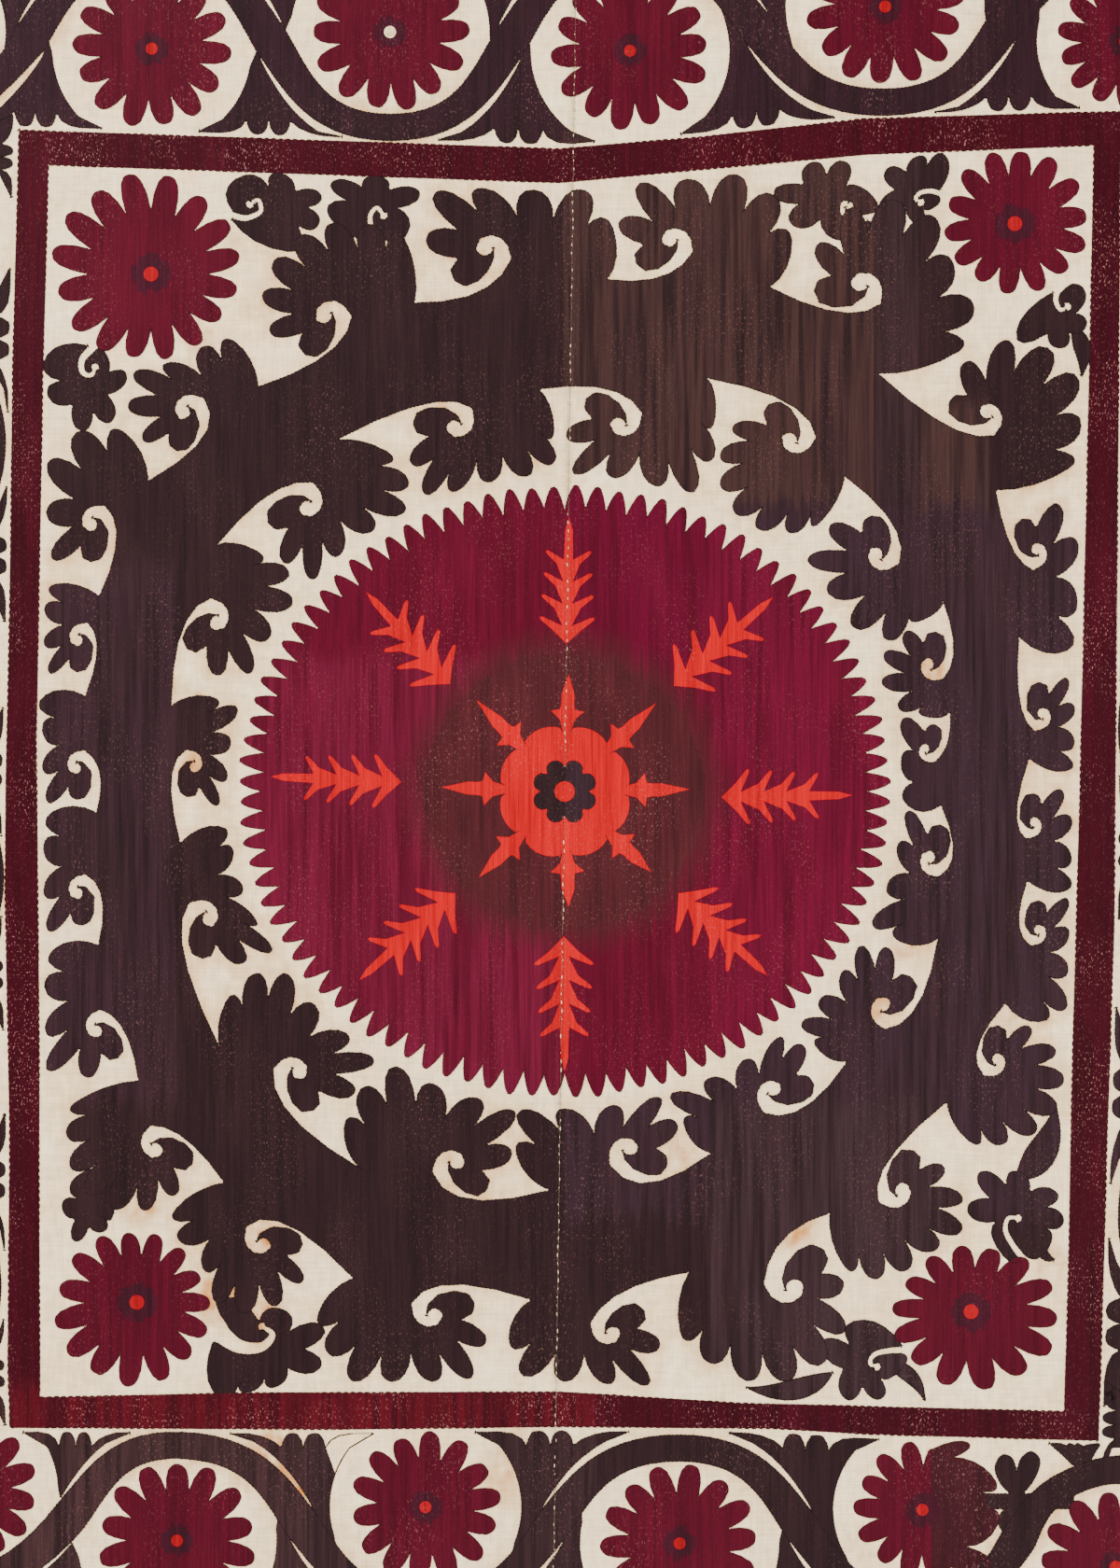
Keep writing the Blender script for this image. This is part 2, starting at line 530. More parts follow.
def wreath(rows, side):
    """A closed edge of curled leaves, on the ring's outer side (1) or inner side (-1)."""
    outline = []
    for row, following in zip(rows, rows[1:] + rows[:1]):
        outline += leaf(row, following, side)
    return outline


def rosette(x, y, far, petals, near=None, squat=1.0, start=0.0):
    """A rosette of round-ended petals with sharp notches; every third petal is a little shorter."""
    def spot(share, size):
        angle = start + 2 * pi * share / petals
        reach = far if near is None else corner_reach(x, y, far, near, angle)
        return x + size * reach * cos(angle), y + squat * size * reach * sin(angle)

    outline = []
    for i in range(petals):
        tip = spot(i + 0.5 + 0.05 * sin(5 * i), 0.97 if i % 3 == 1 else 1.01)
        outline += petal(spot(i, PETAL_NOTCH), tip, spot(i + 1, PETAL_NOTCH), full=0.75)
    return outline


def toothed_edge():
    """The medallion's edge: pointed-arch teeth with sharp notches between them."""
    side = [(0.0, 0.0)] + TOOTH_SIDE + [(0.5, 1.0)] + [(1 - share, rise) for share, rise in TOOTH_SIDE[::-1]]
    outline = []
    for i in range(TEETH):
        tip = 1.5 * sin(i * 1.7)
        notches = (TOOTH_DEPTH + 2 * sin(i * 2.3), TOOTH_DEPTH + 2 * sin(i * 2.3 + 2.3))
        for share, rise in side:
            notch = notches[share > 0.5]
            depth = notch + (tip - notch) * rise
            angle = 2 * pi * (i + share) / TEETH
            outline.append((MIDDLE[0] + (TOOTH_TIP[0] - depth) * cos(angle),
                            MIDDLE[1] + (TOOTH_TIP[1] - depth) * sin(angle)))
    return outline


def circle(x, y, radius, steps=64):
    """A round edge."""
    return [polar((x, y), radius, 2 * pi * i / steps) for i in range(steps)]


def ragged_round(x, y, wide, high, seed, least=0.72, most=1.12, pitch=3.2, blunt=0.12):
    """A round patch of upright threads that end at uneven heights."""
    rng = np.random.default_rng(seed)
    top, foot = [], []
    count = max(6, int(2 * wide / pitch))
    for i in range(count):
        left = -wide + 2 * wide * i / count
        right = -wide + 2 * wide * (i + 1) / count
        rise = high * max(blunt, 1 - ((left + right) / 2 / wide) ** 2) ** 0.5
        a, b = rise * rng.uniform(least, most), rise * rng.uniform(least, most)
        top += [(x + left, y - a), (x + right, y - a)]
        foot += [(x + left, y + b), (x + right, y + b)]
    return top + foot[::-1]


def flower():
    """Eight lobes with a barbed spear in each notch between them."""
    outline = []

    def add(angle, away, sideways):
        outline.append((MIDDLE[0] + away * cos(angle) - sideways * sin(angle),
                        MIDDLE[1] + away * sin(angle) + sideways * cos(angle)))

    for degrees, reach in SPEARS:
        angle = radians(degrees)
        add(angle, LOBE_NOTCH, -SPEAR_ROOT)
        for away, half in SPEAR_SIDE:
            add(angle, away, -half)
        add(angle, reach, 0)
        for away, half in reversed(SPEAR_SIDE):
            add(angle, away, half)
        add(angle, LOBE_NOTCH, SPEAR_ROOT)
        for i in range(1, 8):
            add(angle + i / 8 * pi / 4, LOBE_NOTCH + (LOBE_RADIUS - LOBE_NOTCH) * sin(pi * i / 8) ** 0.5, 0)
    return outline


def lobed_round(x, y, radius, lobes, depth, steps=6):
    """A small round of bumps, such as the dark one at the flower's heart."""
    outline = []
    for i in range(lobes * steps):
        angle = 2 * pi * i / (lobes * steps)
        size = radius - depth + depth * abs(sin(angle * lobes / 2)) ** 0.6
        outline.append(polar((x, y), size, angle))
    return outline


def sprig(tip_x, tip_y, base_x, base_y, half):
    """A fir-like sprig with four pairs of barbs swept towards its tip."""
    length = hypot(tip_x - base_x, tip_y - base_y)
    along = ((tip_x - base_x) / length, (tip_y - base_y) / length)

    def spot(away, sideways):
        return base_x + away * along[0] - sideways * along[1], base_y + away * along[1] + sideways * along[0]

    one_side = []
    for i in range(4):
        away = length * (BARB_FIRST + BARB_STEP * i)
        wide = half * (1 - BARB_TAPER * i)
        one_side += [(away - BARB_LOW, wide / 2), (away - 3, wide * 0.95), (away, wide),
                     (away + 0.5, wide * 0.88), (away - BARB_RISE, STEM_HALF)]
    outline = [spot(0, 0)]
    outline += [spot(away, -wide) for away, wide in one_side]
    outline += [spot(length * 0.9, -4), spot(length, 0), spot(length * 0.9, 4)]
    outline += [spot(away, wide) for away, wide in reversed(one_side)]
    return outline


def vine_line():
    """The middle of the band that winds round the rosettes, as x, y and half width at each step."""
    crossings = []
    for here, ahead in zip(BORDER_ROSETTES, BORDER_ROSETTES[1:] + BORDER_ROSETTES[:1]):
        dx, dy = ahead[0] - here[0], ahead[1] - here[1]
        middle = hypot(dx, dy) / 2
        radius = max(here[3], ahead[3])
        half = min(VINE_CROSSING, middle - radius - VINE_CLEAR - 1)
        swing = max(VINE_SWING, asin(min(0.99, (radius + half + VINE_CLEAR) / middle)))
        heading = atan2(dy, dx) + (swing if here[2] else -swing)
        crossings.append((here[0] + dx / 2, here[1] + dy / 2, heading, half))
    line = []
    for i, (x, y, outside, _, _, distance) in enumerate(BORDER_ROSETTES):
        start, end = crossings[i - 1], crossings[i]
        length = apart(start, end)
        along = ((end[0] - start[0]) / length, (end[1] - start[1]) / length)
        normal = (along[1], -along[0]) if outside else (-along[1], along[0])
        top = (x + distance * normal[0], y + distance * normal[1])
        for crossing, way in ((start, 1), (end, -1)):
            dx, dy = top[0] - crossing[0], top[1] - crossing[1]
            rise = way * VINE_FULL * abs(dx * normal[0] + dy * normal[1])
            run = way * VINE_FULL * abs(dx * along[0] + dy * along[1])
            low = (crossing[0] + rise * cos(crossing[2]), crossing[1] + rise * sin(crossing[2]))
            high = (top[0] - run * along[0], top[1] - run * along[1])
            spots = [crossing[:2], low, high, top][::way]
            for j, spot in enumerate(bezier(*spots, VINE_STEPS)):
                share = j / VINE_STEPS if way > 0 else 1 - j / VINE_STEPS
                half = crossing[3] + (VINE_HALF - crossing[3]) * sin(pi / 2 * share)
                line.append((*spot, half))
    return line


def vine_edges():
    """Both edges of the band that winds round the rosettes, past each on alternate sides."""
    line = vine_line()
    edges = ([], [])
    for before, (x, y, half), after in zip(line[-1:] + line[:-1], line, line[1:] + line[:1]):
        dx, dy = after[0] - before[0], after[1] - before[1]
        length = hypot(dx, dy)
        for edge, offset in zip(edges, (-half, half)):
            edge.append((x - offset * dy / length, y + offset * dx / length))
    return list(edges)


def linear(hex_colour):
    """An sRGB hex colour as linear red, green, blue and alpha."""
    parts = [int(hex_colour[i:i + 2], 16) / 255 for i in (1, 3, 5)]
    return (*[c / 12.92 if c <= 0.04045 else ((c + 0.055) / 1.055) ** 2.4 for c in parts], 1.0)


def add(tree, kind, links=(), **settings):
    """Add a node with its settings, and link or set its inputs by name or number."""
    node = tree.nodes.new(kind)
    for name, value in settings.items():
        setattr(node, name, value)
    for socket, value in dict(links).items():
        if isinstance(value, bpy.types.NodeSocket):
            tree.links.new(value, node.inputs[socket])
        else:
            node.inputs[socket].default_value = value
    return node


def new_material(name, roughness):
    """A material with its tree, its shader and the Object coordinates."""
    material = bpy.data.materials.new(name)
    material.use_nodes = True
    tree = material.node_tree
    shader = tree.nodes["Principled BSDF"]
    shader.inputs["Roughness"].default_value = roughness
    shader.inputs["Specular IOR Level"].default_value = 0.05
    where = add(tree, "ShaderNodeTexCoord").outputs["Object"]
    return material, tree, shader, where


def mixed(tree, factor, first, second, blend="MIX"):
    """Two colours mixed by a factor."""
    node = add(tree, "ShaderNodeMix", {0: factor, 6: first, 7: second}, data_type="RGBA", blend_type=blend)
    return node.outputs[2]


def noise(tree, where, pitch, detail=2.0):
    """Noise with a pitch in millimetres along X, Y and Z."""
    scaled = add(tree, "ShaderNodeMapping", {"Vector": where, "Scale": [MM / size for size in pitch]})
    links = {"Vector": scaled.outputs[0], "Scale": 1.0, "Detail": detail}
    return add(tree, "ShaderNodeTexNoise", links).outputs[0]


def ranged(tree, value, low, high, to_low=0.0, to_high=1.0):
    """A value stretched from one range to another and kept inside it."""
    links = {"Value": value, "From Min": low, "From Max": high, "To Min": to_low, "To Max": to_high}
    return add(tree, "ShaderNodeMapRange", links).outputs[0]


def reckoned(tree, operation, *values):
    """A value worked out from others."""
    return add(tree, "ShaderNodeMath", dict(enumerate(values)), operation=operation).outputs[0]


def times(tree, first, second):
    """Two values multiplied."""
    return reckoned(tree, "MULTIPLY", first, second)


def near_line(tree, where, reach):
    """1 along the seam, fading out sideways over a reach in millimetres."""
    parts = add(tree, "ShaderNodeSeparateXYZ", {"Vector": where})
    side = reckoned(tree, "ABSOLUTE", parts.outputs[0])
    return ranged(tree, side, 0.0, reach / MM, 1.0, 0.0)


def finished(tree, shader, colour, relief, strength, deep):
    """Give a shader its colour and the relief of its threads."""
    tree.links.new(colour, shader.inputs["Base Color"])
    bump = add(tree, "ShaderNodeBump", {"Height": relief, "Strength": strength, "Distance": deep})
    tree.links.new(bump.outputs[0], shader.inputs["Normal"])


def cotton_material():
    """Unbleached plain-weave cotton: matt and pale, a fine weave, slubs and soft brown stains."""
    material, tree, shader, where = new_material("unbleached plain-weave cotton", 0.92)
    cloud = noise(tree, where, (46, 60, 46))
    colour = mixed(tree, ranged(tree, cloud, 0.3, 0.7), linear("#ddbf92"), linear("#ead2a8"))
    mottle = noise(tree, where, (9, 12, 9), 3.0)
    colour = mixed(tree, 1.0, colour, ranged(tree, mottle, 0.35, 0.65, 0.9, 1.06), "MULTIPLY")
    # threads are 0.5 mm apart and are drawn 1.6 mm apart so that they show
    warp = noise(tree, where, (1.6, 30, 5))
    weft = noise(tree, where, (30, 1.6, 5))
    weave = reckoned(tree, "ADD", warp, weft)
    shade = ranged(tree, weave, 0.75, 1.25, 0.84, 1.08)
    colour = mixed(tree, 1.0, colour, shade, "MULTIPLY")
    stain = add(tree, "ShaderNodeAttribute", attribute_name="stain").outputs["Fac"]
    patchy = times(tree, stain, ranged(tree, noise(tree, where, (14, 18, 14)), 0.3, 0.65, 0.35, 1.0))
    colour = mixed(tree, patchy, colour, linear("#a9692c"))
    finished(tree, shader, colour, weave, 0.35, 0.0006)
    return material


def laid_silk(name, base, deep, bright, worn, lots=(), ground=None):
    """Laid floss silk: upright threads with a low sheen, darker and brighter skeins, worn specks.

    lots are patches of other dye lots; ground darkens the silk about the medallion's middle.
    """
    material, tree, shader, where = new_material(name, 0.55)
    # the laid threads are 0.8 mm apart and are drawn 1.5 mm apart so that they show
    threads = noise(tree, where, (1.5, 60, 5), 3.0)
    skeins = noise(tree, where, (7, 190, 9), 2.0)
    fades = noise(tree, where, (45, 150, 75), 2.0)
    colour = linear(base)
    parts = add(tree, "ShaderNodeSeparateXYZ", {"Vector": where}).outputs
    uneven = reckoned(tree, "MULTIPLY_ADD", skeins, 0.08, parts[1])
    for left, top, right, foot, tone in lots:
        low_x, high_y = place(left, top)
        high_x, low_y = place(right, foot)
        wide = times(tree, ranged(tree, parts[0], low_x, low_x + 0.002),
                     ranged(tree, parts[0], high_x - 0.002, high_x, 1.0, 0.0))
        high = times(tree, ranged(tree, uneven, low_y + 0.03, low_y + 0.05),
                     ranged(tree, uneven, high_y + 0.03, high_y + 0.05, 1.0, 0.0))
        colour = mixed(tree, times(tree, wide, high), colour, linear(tone))
    colour = mixed(tree, ranged(tree, skeins, 0.56, 0.34, 0.0, 0.8), colour, linear(deep))
    colour = mixed(tree, ranged(tree, fades, 0.5, 0.72, 0.0, 0.4), colour, linear(bright))
    if ground is not None:
        away = add(tree, "ShaderNodeVectorMath", {0: where}, operation="LENGTH").outputs["Value"]
        ragged = reckoned(tree, "MULTIPLY_ADD", threads, 0.05, away)
        first, last = (GROUND_RADIUS - 4) / MM + 0.025, (GROUND_RADIUS + 30) / MM + 0.025
        soft = ranged(tree, ragged, first, last, 1.0, 0.0)
        colour = mixed(tree, times(tree, soft, 0.95), colour, linear(ground))
    colour = mixed(tree, 1.0, colour, ranged(tree, threads, 0.3, 0.7, 0.74, 1.22), "MULTIPLY")
    specks = ranged(tree, noise(tree, where, (1.5, 3.2, 2.4), 1.0), 0.62, 0.72)
    wear = ranged(tree, noise(tree, where, (60, 110, 90), 1.0), 0.45, 0.66, 0.12 * worn, worn)
    seam = times(tree, near_line(tree, where, 22), worn)
    wear = reckoned(tree, "MAXIMUM", wear, seam)
    colour = mixed(tree, times(tree, specks, wear), colour, linear("#a5706a"))
    finished(tree, shader, colour, threads, 0.45, 0.0005)
    shader.inputs["Sheen Weight"].default_value = 0.03
    shader.inputs["Sheen Roughness"].default_value = 0.3
    return material


def thread_material(name, colour, lighter, roughness=0.6):
    """A twisted stitching thread: one colour with a slight change from stitch to stitch."""
    material, tree, shader, where = new_material(name, roughness)
    fleck = noise(tree, where, (5, 5, 5), 1.0)
    tone = mixed(tree, ranged(tree, fleck, 0.35, 0.65), linear(colour), linear(lighter))
    tree.links.new(tone, shader.inputs["Base Color"])
    return material


# the pale ground that shows between the motifs
COTTON = cotton_material()
# rosettes: a clear crimson; medallion and frame: deeper crimsons, each with its dye lots
CRIMSON = laid_silk("crimson laid silk", "#3e0414", "#35020f", "#4a0819", 0.18)
MEDALLION = laid_silk("crimson medallion silk", "#440317", "#390211", "#50081e", 0.16,
                      MEDALLION_LOTS, "#381216")
FRAME_SILK = laid_silk("deep crimson frame silk", "#2d010b", "#250107", "#390412", 0.5, FRAME_LOTS)
# wreath, vine and leaves: a dark that turns from brown to aubergine with its lots
DARK = laid_silk("aubergine laid silk", "#1f1012", "#180c0e", "#291719", 0.16, DARK_LOTS)
# the medallion's brownish middle, and the odd rosette's dark side
GROUND = laid_silk("plum ground silk", "#381216", "#2c0e12", "#43181c", 0.3)
PLUM = laid_silk("dark plum laid silk", "#2c0c12", "#22090d", "#381218", 0.3)
# the flower and the sprigs glow against both; rosettes have a dull heart and a small bright dot
SCARLET = laid_silk("scarlet laid silk", "#a0000a", "#8c0008", "#ac080c", 0.25)
SMUDGE = laid_silk("dark heart silk", "#2f0916", "#230710", "#380c1a", 0.1)
RED_DOT = laid_silk("rose silk", "#84040e", "#70040a", "#940c14", 0.2)
# the couched outline round each motif, a shade darker than its silk
DARK_EDGE = thread_material("near-black edging thread", "#0e0709", "#170b10")
MAROON_EDGE = thread_material("maroon edging thread", "#22030b", "#2e0611")
SCARLET_EDGE = thread_material("deep red edging thread", "#6a0206", "#840608")
# the seam's pale dashes, and the drawing that was never covered
PALE_THREAD = thread_material("cotton sewing thread", "#b89c78", "#d8c098", 0.85)
PEN = thread_material("brown drawn line", "#1c0e0a", "#2a1812", 0.9)


def shown(name, data):
    """An object of this name and data, in the scene."""
    thing = bpy.data.objects.new(name, data)
    bpy.context.scene.collection.objects.link(thing)
    return thing


def piece_of(name, mesh_data, stands_for=()):
    """A piece of the cloth, which takes the place of the nodes that it stands for."""
    piece = shown(name, mesh_data)
    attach(piece, "root")
    if stands_for:
        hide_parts(*stands_for)
    return piece


def add_line(curve, spots, closed):
    """A line through spots in metres, as part of a curve."""
    spline = curve.splines.new("POLY")
    spline.points.add(len(spots) - 1)
    for point, spot in zip(spline.points, spots):
        point.co = (*spot, 1.0)
    spline.use_cyclic_u = closed


def plain_mesh(shape):
    """A curve object's evaluated form as a plain mesh; the curve itself goes."""
    bpy.context.view_layer.update()
    curve = shape.data
    mesh_data = bpy.data.meshes.new_from_object(shape.evaluated_get(bpy.context.evaluated_depsgraph_get()))
    bpy.data.objects.remove(shape)
    bpy.data.curves.remove(curve)
    return mesh_data


def draped(mesh_data, seam_side=None):
    """Cut a flat mesh across by a grid, keep one side of the seam if named, and lay it on the cloth."""
    solid = bmesh.new()
    solid.from_mesh(mesh_data)
    if seam_side:
        hand = 1 if seam_side == "right" else -1
        foot, head = Vector((*place(seam_x(1700), 1700), 0)), Vector((*place(seam_x(0), 0), 0))
        along = (head - foot).normalized()
        off = Vector((along.y, -along.x, 0)) * hand
        everything = solid.verts[:] + solid.edges[:] + solid.faces[:]
        cut = bmesh.ops.bisect_plane(solid, geom=everything, dist=1e-7, plane_co=foot + off * SEAM_GAP / MM,
                                     plane_no=off, clear_inner=True)
        rims = [e for e in cut["geom_cut"] if isinstance(e, bmesh.types.BMEdge)]
        bmesh.ops.holes_fill(solid, edges=rims, sides=0)
    corners = [v.co for v in solid.verts]
    for axis in (0, 1):
        low = min(c[axis] for c in corners) * MM
        high = max(c[axis] for c in corners) * MM
        for k in range(int(ceil(low / DRAPE_STEP)), int(high // DRAPE_STEP) + 1):
            spot, normal = Vector((0, 0, 0)), Vector((0, 0, 0))
            spot[axis], normal[axis] = k * DRAPE_STEP / MM, 1
            everything = solid.verts[:] + solid.edges[:] + solid.faces[:]
            bmesh.ops.bisect_plane(solid, geom=everything, dist=1e-7, plane_co=spot, plane_no=normal)
    for vertex in solid.verts:
        vertex.co.z += lift(vertex.co.x * MM + MIDDLE[0], MIDDLE[1] - vertex.co.y * MM) / MM
    solid.to_mesh(mesh_data)
    solid.free()


def worked(name, outlines, material, low=SILK_LOW, top=SILK_TOP, stands_for=(), seam_side=None):
    """A flat motif in laid silk with its holes, draped on the cotton."""
    curve = bpy.data.curves.new(name, "CURVE")
    curve.dimensions = "2D"
    curve.fill_mode = "BOTH"
    curve.extrude = (top - low) / 2 / MM
    for outline in outlines:
        add_line(curve, [(*place(*spot), 0.0) for spot in outline], True)
    mesh_data = plain_mesh(shown(name + "_outline", curve))
    solid = bmesh.new()
    solid.from_mesh(mesh_data)
    bmesh.ops.remove_doubles(solid, verts=solid.verts, dist=0.00001)
    bmesh.ops.recalc_face_normals(solid, faces=solid.faces)
    bmesh.ops.translate(solid, verts=solid.verts, vec=(0, 0, (top + low) / 2 / MM))
    solid.to_mesh(mesh_data)
    solid.free()
    draped(mesh_data, seam_side)
    mesh_data.materials.clear()
    mesh_data.materials.append(material)
    return piece_of(name, mesh_data, stands_for)


def crossing(name, outlines, material, slot):
    """A motif that crosses the seam, in its two halves."""
    for side in ("left", "right"):
        half = f"{name}_{side}"
        worked(half, outlines, material, seam_side=side, stands_for=[half])


def inside(spots, outline):
    """Which spots lie inside an outline."""
    x, y = spots[:, 0], spots[:, 1]
    found = np.zeros(len(spots), bool)
    points = np.array(outline)
    for (x0, y0), (x1, y1) in zip(points, np.roll(points, -1, axis=0)):
        if y0 == y1:
            continue
        hit = (y0 > y) != (y1 > y)
        found ^= hit & (x < (x1 - x0) * (y - y0) / (y1 - y0) + x0)
    return found


def stitch_tree():
    """Stitches along curves: each a small faceted grain laid end to end with the next."""
    tree = bpy.data.node_groups.new("stitches along a line", "GeometryNodeTree")
    tree.is_modifier = True
    sockets = tree.interface
    sockets.new_socket("Geometry", in_out="INPUT", socket_type="NodeSocketGeometry")
    for label in ("Spacing", "Length", "Width", "Height", "Smallest", "Largest", "Missing"):
        sockets.new_socket(label, in_out="INPUT", socket_type="NodeSocketFloat")
    sockets.new_socket("Thread", in_out="INPUT", socket_type="NodeSocketMaterial")
    sockets.new_socket("Geometry", in_out="OUTPUT", socket_type="NodeSocketGeometry")
    given = add(tree, "NodeGroupInput").outputs
    line = add(tree, "GeometryNodeResampleCurve", {"Curve": given["Geometry"], "Length": given["Spacing"]},
               mode="LENGTH")
    along = add(tree, "GeometryNodeInputTangent").outputs[0]
    turned = add(tree, "FunctionNodeAlignRotationToVector", {"Vector": along}, axis="X").outputs[0]
    uneven = add(tree, "FunctionNodeRandomValue", {2: given["Smallest"], 3: given["Largest"], "Seed": 4},
                 data_type="FLOAT").outputs[1]
    gone = add(tree, "FunctionNodeRandomValue", {"Probability": given["Missing"], "Seed": 9},
               data_type="BOOLEAN").outputs[3]
    kept = add(tree, "FunctionNodeBooleanMath", {0: gone}, operation="NOT").outputs[0]
    size = add(tree, "ShaderNodeCombineXYZ",
               {0: given["Length"], 1: given["Width"], 2: given["Height"]}).outputs[0]
    size = add(tree, "ShaderNodeVectorMath", {0: size, "Scale": uneven}, operation="SCALE").outputs[0]
    grain = add(tree, "GeometryNodeMeshUVSphere", {"Segments": 4, "Rings": 3, "Radius": 0.5}).outputs[0]
    # the sphere's poles are on Z, so it is laid down along X
    grain = add(tree, "GeometryNodeTransform", {"Geometry": grain, "Rotation": (0, pi / 2, 0)}).outputs[0]
    laid = add(tree, "GeometryNodeInstanceOnPoints",
               {"Points": line.outputs[0], "Selection": kept, "Instance": grain, "Rotation": turned,
                "Scale": size})
    real = add(tree, "GeometryNodeRealizeInstances", {0: laid.outputs[0]}).outputs[0]
    done = add(tree, "GeometryNodeSetMaterial", {"Geometry": real, "Material": given["Thread"]}).outputs[0]
    add(tree, "NodeGroupOutput", {0: done})
    return tree


STITCHES = stitch_tree()


def stitched(name, runs, material, spacing, length, width, height, above=SILK_TOP - 0.25,
             sizes=(0.85, 1.15), missing=0.0):
    """Stitches along runs of the pattern, each run a list of spots and whether it closes."""
    curve = bpy.data.curves.new(name, "CURVE")
    curve.dimensions = "3D"
    for spots, closed in runs:
        add_line(curve, [(*place(x, y), (above + lift(x, y)) / MM) for x, y in spots], closed)
    lines = shown(name + "_lines", curve)
    modifier = lines.modifiers.new("stitches", "NODES")
    modifier.node_group = STITCHES
    values = {"Spacing": spacing / MM, "Length": length / MM, "Width": width / MM, "Height": height / MM,
              "Smallest": sizes[0], "Largest": sizes[1], "Missing": missing, "Thread": material}
    for item in STITCHES.interface.items_tree:
        if item.in_out == "INPUT" and item.name in values:
            modifier[item.identifier] = values[item.name]
    return piece_of(name, plain_mesh(lines))


def cotton_panel(side, dark):
    """One cotton panel with its turned hem on three sides and a soft rim, stained beside the dark silk."""
    dyed = [spot for outline in dark for spot in finer(outline, 8)]
    beside = KDTree(len(dyed))
    for i, (x, y) in enumerate(dyed):
        beside.insert((x, y, 0), i)
    beside.balance()
    rim = np.array(HEM_ROWS)
    columns = np.concatenate([rim, np.linspace(20, PANEL_WIDE, INNER_COLUMNS)])
    rows = np.concatenate([rim, np.linspace(22, PANEL_HIGH - 22, INNER_ROWS), PANEL_HIGH - rim[::-1]])
    outer_edge = CLOTH_LEFT if side == "left" else CLOTH_RIGHT
    hand = -1 if side == "left" else 1
    panel = bmesh.new()
    stain_layer = panel.verts.layers.float.new("stain")
    grids = []
    for down in rows:
        v = down / PANEL_HIGH
        line = []
        for over in columns:
            u = over / PANEL_WIDE
            edge = across(outer_edge, PANEL_TOP + PANEL_HIGH * v)
            x_guess = edge + (MIDDLE[0] - edge) * u
            y = across(CLOTH_TOP, x_guess) + v * (across(CLOTH_FOOT, x_guess) - across(CLOTH_TOP, x_guess))
            x = edge + (seam_x(y) + hand * SEAM_GAP / 2 - edge) * u
            from_edge = min(over, down, PANEL_HIGH - down)
            height = COTTON_TOP
            if from_edge < HEM_ROWS[-1]:
                # the fold rolls up within 2 mm of the edge, and the turned strip ends in a soft step
                roll = min(1.0, (from_edge + 0.4) / 2.4) ** 0.5
                end = min(1.0, max(0.0, (HEM_WIDTH + 1 - from_edge) / 1.2))
                height = COTTON_TOP * roll + HEM_RISE * roll * end
            if PANEL_WIDE - over < 4:
                height -= SEAM_DIP
            line.append((x, y, height))
        grids.append(line)
    layers = []
    for is_top in (True, False):
        layer = []
        for line in grids:
            made = []
            for x, y, height in line:
                z = (lift(x, y) + (height if is_top else 0.0)) / MM
                vertex = panel.verts.new((*place(x, y), z))
                if is_top:
                    near = sum(power * max(0.0, 1 - (hypot(x - sx, y - sy) / reach) ** 2)
                               for sx, sy, reach, power in STAINS)
                    bled = 0.75 * max(0.0, 1 - beside.find((x, y, 0))[2] / BLEED)
                    cloud = 0.5 + 0.5 * sin(x / 71 + 2 * sin(y / 97)) * sin(y / 83 + 1.7 * sin(x / 131))
                    vertex[stain_layer] = min(1.0, near + bled * cloud)
                made.append(vertex)
            layer.append(made)
        layers.append(layer)
    high, low = layers
    last_row, last_column = len(rows) - 1, len(columns) - 1
    for layer in layers:
        for j in range(last_row):
            for i in range(last_column):
                panel.faces.new((layer[j][i], layer[j][i + 1], layer[j + 1][i + 1], layer[j + 1][i]))
    border = [(0, i) for i in range(last_column)] + [(j, last_column) for j in range(last_row)]
    border += [(last_row, i) for i in range(last_column, 0, -1)] + [(j, 0) for j in range(last_row, 0, -1)]
    for (j, i), (k, l) in zip(border, border[1:] + border[:1]):
        panel.faces.new((high[j][i], high[k][l], low[k][l], low[j][i]))
    bmesh.ops.recalc_face_normals(panel, faces=panel.faces)
    mesh_data = bpy.data.meshes.new(f"cotton_panel_{side}")
    panel.to_mesh(mesh_data)
    panel.free()
    mesh_data.shade_smooth()
    mesh_data.materials.append(COTTON)
    return piece_of(f"cotton_panel_{side}", mesh_data, [f"cotton_{side}"])


def frame_line(x, y):
    """The frame's outer edge that a spot of the border faces: its distance inwards, and the way there."""
    gaps = [(across(FRAME_TOP, x) - y, (0, 1)), (x - across(FRAME_RIGHT, y), (-1, 0)),
            (y - across(FRAME_FOOT, x), (0, -1)), (across(FRAME_LEFT, y) - x, (1, 0))]
    return max(gaps)


